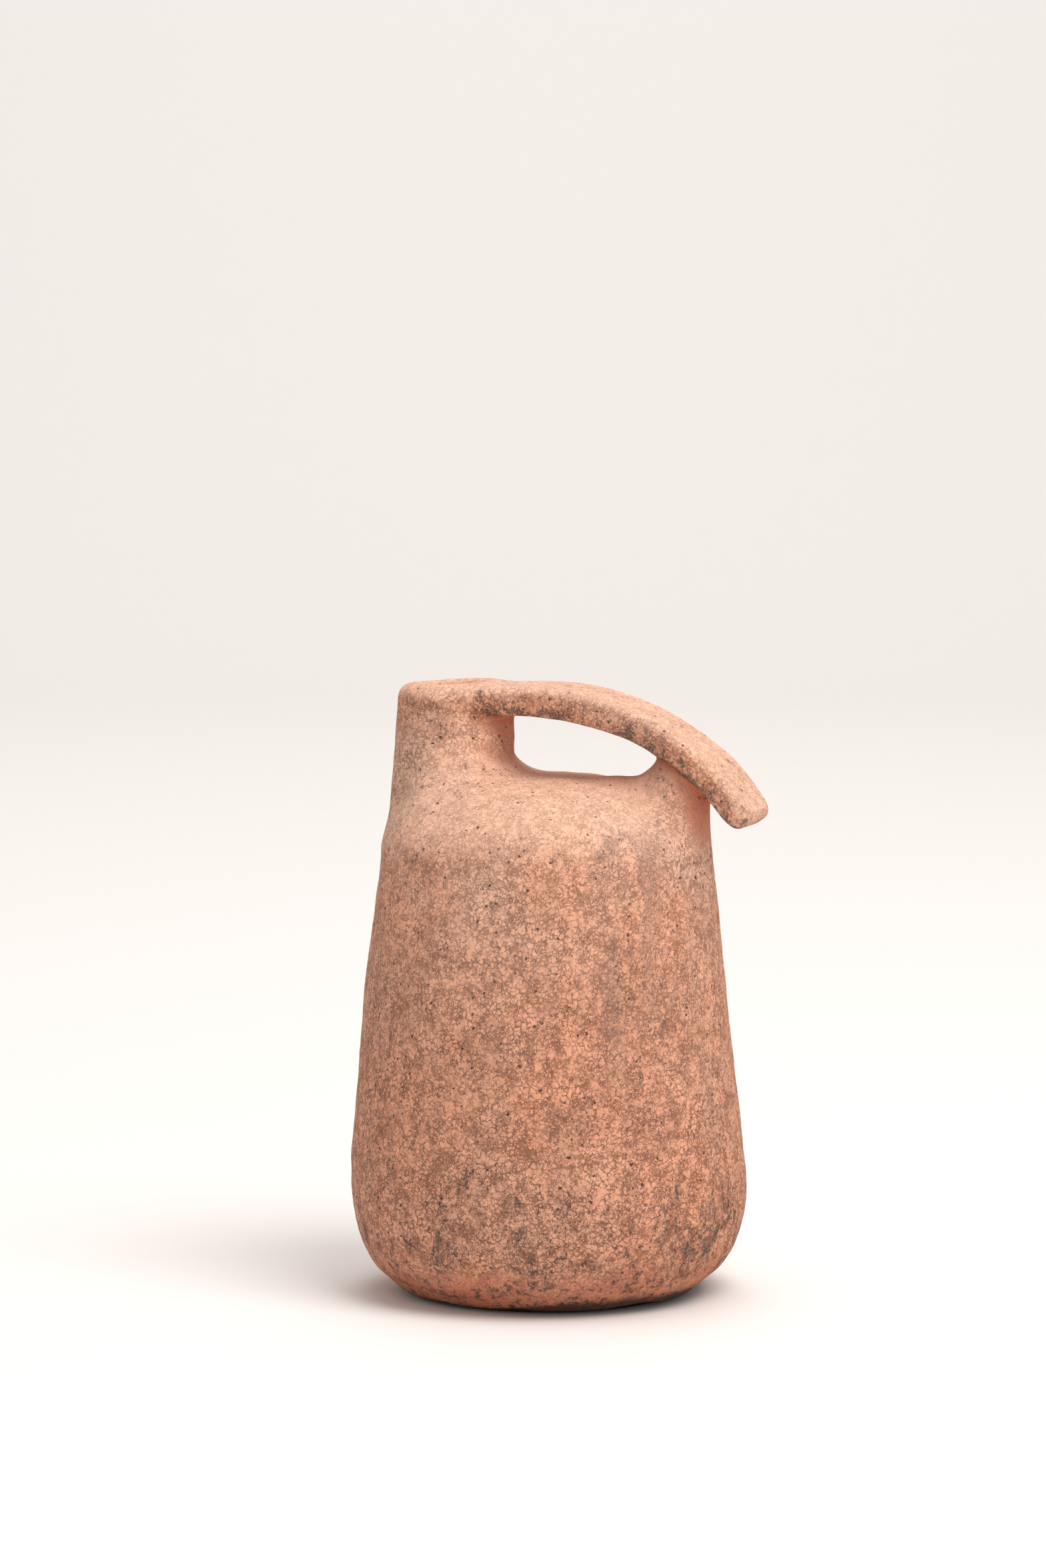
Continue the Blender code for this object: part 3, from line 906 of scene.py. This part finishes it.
    # The run's middle wanders about a fixed distance along X, just inside the post's line.
    run_down = look.math("ABSOLUTE", look.plus(along, look.plus(look.times(small, 0.03), -0.081)))
    run_down = look.times(look.ramp(run_down, 0.018, 0.003), look.ramp(streaks, 0.36, 0.60))
    below_post = look.times(look.ramp(height, 0.09, 0.20), look.ramp(upward, 0.95, 0.5))
    run_down = look.times(run_down, below_post)
    colour = look.paint(colour, GREY, look.times(run_down, 0.35))
    blot_colour = look.paint(SOOT_AND_SHADOW_BLACK, GREY, look.ramp(grain, 0.40, 0.62))
    colour = look.paint(colour, blot_colour, look.times(blotches, 0.75))

    # A ragged painted contact shadow along the foot, higher towards the strap's side, and plain orange
    # inside.
    foot = look.plus(height, look.times(look.plus(blots, -0.5), 0.020))
    foot = look.plus(foot, look.times(look.ramp(along, -0.01, 0.04), -0.005))
    colour = look.paint(colour, SOOT_AND_SHADOW_BLACK, look.times(look.ramp(foot, 0.0045, 0.0015), 0.9))
    colour = look.paint(colour, ORANGE, look.times(inside, 0.5))

    mottle = look.plus(look.times(grain, 0.9), 0.55)
    tone = look.node("ShaderNodeVectorMath", {0: colour, 3: mottle}, operation="SCALE").outputs[0]

    look.give(look.shader.inputs["Base Color"], tone)
    look.shader.inputs["Roughness"].default_value = 0.92
    look.shader.inputs["Specular IOR Level"].default_value = 0.22

    # Lines, specks and blotches are slightly sunk.
    relief = look.plus(look.times(grain, 0.25), look.times(lines, -0.5))
    relief = look.plus(relief, look.plus(look.times(specks, -0.8), look.times(blotches, -0.4)))
    bump = look.node("ShaderNodeBump", {"Height": relief, "Strength": 0.55, "Distance": 0.00035})
    look.give(look.shader.inputs["Normal"], bump.outputs[0])
    return look.material


fired_clay = clay_material()
pieces = {**turned_pieces(), **grid_pieces()}
for name, (spots, quads) in pieces.items():
    add_piece(name, spots, quads, fired_clay)

# ---------------------------------------------------------------- floor, light and camera

CAMERA_AZIMUTH = math.radians(20.0)
CAMERA_PITCH = math.radians(6.3)
CAMERA_DISTANCE = 3.6
CAMERA_LENS = 158.0
AIM_HEIGHT = 0.268
AIM_SIDE = -0.0128

# The backdrop stands beyond the camera's distance, so that it hides no other view.
BACKDROP = 4.4
BACKDROP_BEND = 1.2
STAGE_HALF = 6.0


def add_stage():
    """A pale floor that curves up into a backdrop."""
    bend_start = BACKDROP - BACKDROP_BEND
    line = [(-STAGE_HALF, 0.0), (bend_start, 0.0)]
    for step in range(1, 17):
        angle = math.pi / 2 * step / 16
        away = bend_start + BACKDROP_BEND * math.sin(angle)
        line.append((away, BACKDROP_BEND - BACKDROP_BEND * math.cos(angle)))
    line.append((BACKDROP, STAGE_HALF))
    turn_back = Matrix.Rotation(CAMERA_AZIMUTH, 3, "Z")
    spots, quads = [], []
    for away, up in line:
        for side in (-STAGE_HALF, STAGE_HALF):
            spots.append(turn_back @ Vector((side, away, up)))
    for row in range(len(line) - 1):
        quads.append((2 * row, 2 * row + 1, 2 * row + 3, 2 * row + 2))
    mesh = bpy.data.meshes.new("stage")
    mesh.from_pydata(spots, [], quads)
    mesh.shade_smooth()
    material = bpy.data.materials.new("pale_stage")
    material.use_nodes = True
    shader = material.node_tree.nodes["Principled BSDF"]
    shader.inputs["Base Color"].default_value = (0.90, 0.87, 0.85, 1)
    shader.inputs["Roughness"].default_value = 0.9
    shader.inputs["Specular IOR Level"].default_value = 0.1
    mesh.materials.append(material)
    stage = bpy.data.objects.new("stage", mesh)
    bpy.context.scene.collection.objects.link(stage)


def add_light(name, place, size, power, colour, aim=(0.0, 0.0, 0.16)):
    """A soft round light, turned towards the middle of the pot unless told otherwise."""
    lamp = bpy.data.lights.new(name, "AREA")
    lamp.shape = "DISK"
    lamp.size = size
    lamp.energy = power
    lamp.color = colour
    light = bpy.data.objects.new(name, lamp)
    light.location = place
    light.rotation_euler = (Vector(aim) - Vector(place)).to_track_quat("-Z", "Y").to_euler()
    bpy.context.scene.collection.objects.link(light)


def add_camera():
    """The main view, a little above level and turned to show the handle's outer end."""
    right = Vector((math.cos(CAMERA_AZIMUTH), math.sin(CAMERA_AZIMUTH), 0.0))
    ahead = Vector((-math.sin(CAMERA_AZIMUTH), math.cos(CAMERA_AZIMUTH), 0.0))
    view = ahead * math.cos(CAMERA_PITCH) - Vector((0.0, 0.0, math.sin(CAMERA_PITCH)))
    lens = bpy.data.cameras.new("camera")
    lens.lens = CAMERA_LENS
    lens.sensor_width = 36.0
    lens.clip_start = 0.05
    lens.clip_end = 60.0
    camera = bpy.data.objects.new("camera", lens)
    target = right * AIM_SIDE + Vector((0.0, 0.0, AIM_HEIGHT))
    camera.location = target - view * CAMERA_DISTANCE
    camera.rotation_euler = view.to_track_quat("-Z", "Y").to_euler()
    bpy.context.scene.collection.objects.link(camera)
    bpy.context.scene.camera = camera


def toward(side, back, up):
    """A place given from the camera's point of view: to its right, away from it, and up."""
    turned = Matrix.Rotation(CAMERA_AZIMUTH, 3, "Z") @ Vector((side, back, up))
    return tuple(turned)


add_stage()
add_camera()
add_light("key_soft", toward(0.9, -1.0, 2.2), 1.6, 38.0, (1.0, 0.985, 0.965))
add_light("front_fill", toward(0.8, -3.4, 1.0), 2.4, 12.0, (1.0, 0.98, 0.96))
add_light("overhead", toward(0.0, 0.2, 3.4), 2.0, 27.0, (1.0, 0.985, 0.97))
wall_spot = toward(0.0, BACKDROP, 1.0)
add_light("backdrop_wash", toward(0.0, 1.8, 3.4), 2.0, 40.0, (1.0, 0.985, 0.97), wall_spot)

world = bpy.data.worlds.new("room")
bpy.context.scene.world = world
world.use_nodes = True
world.node_tree.nodes["Background"].inputs["Color"].default_value = (1.0, 0.975, 0.955, 1)
world.node_tree.nodes["Background"].inputs["Strength"].default_value = 0.50

bpy.context.scene.view_settings.view_transform = "Standard"
